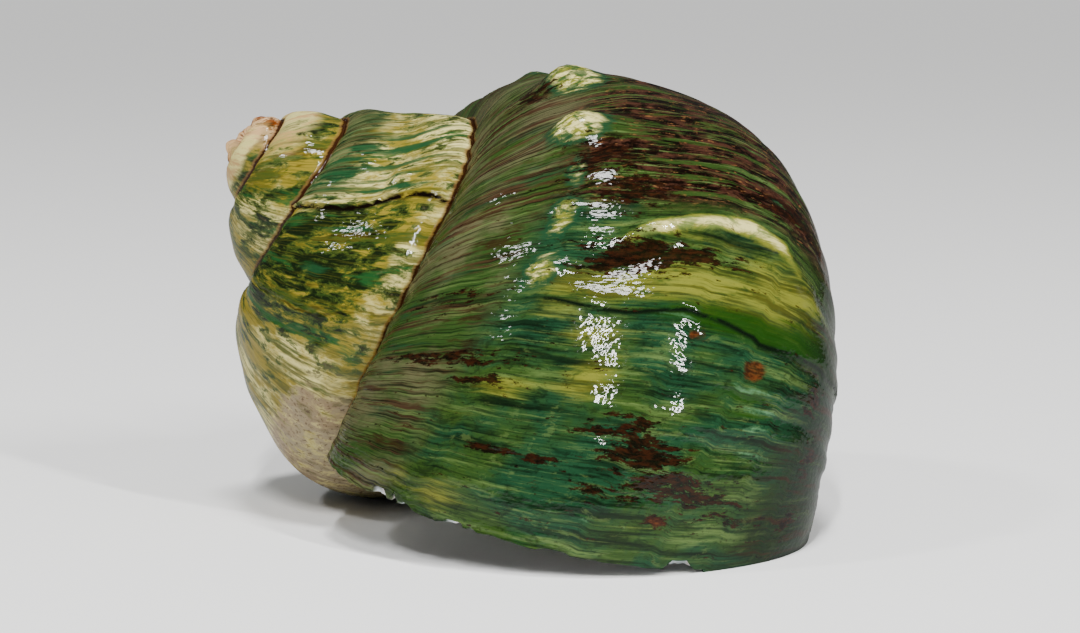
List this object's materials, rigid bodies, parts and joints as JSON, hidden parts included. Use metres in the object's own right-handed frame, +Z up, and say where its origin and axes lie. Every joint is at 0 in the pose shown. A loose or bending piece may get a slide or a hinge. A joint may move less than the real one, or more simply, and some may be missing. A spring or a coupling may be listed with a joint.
{
  "type": "turban shell",
  "caption": "Polished turban snail shell, coiled to the right, a few widening whorls ending in a round open mouth; it lies mouth down on its lip and body whorl.",
  "frame": {"origin": "centre of the bounding box at floor level, the shell lying on its mouth", "axes": "+Z up; the apex points to -X and up; -Y is the side towards which the back of the body whorl and the outer lip face"},
  "size_m": [0.1092, 0.1206, 0.0784],
  "materials": {
    "shell": "polished"
  },
  "bodies": {
    "root": {"shell": "shell"}
  },
  "joints": []
}
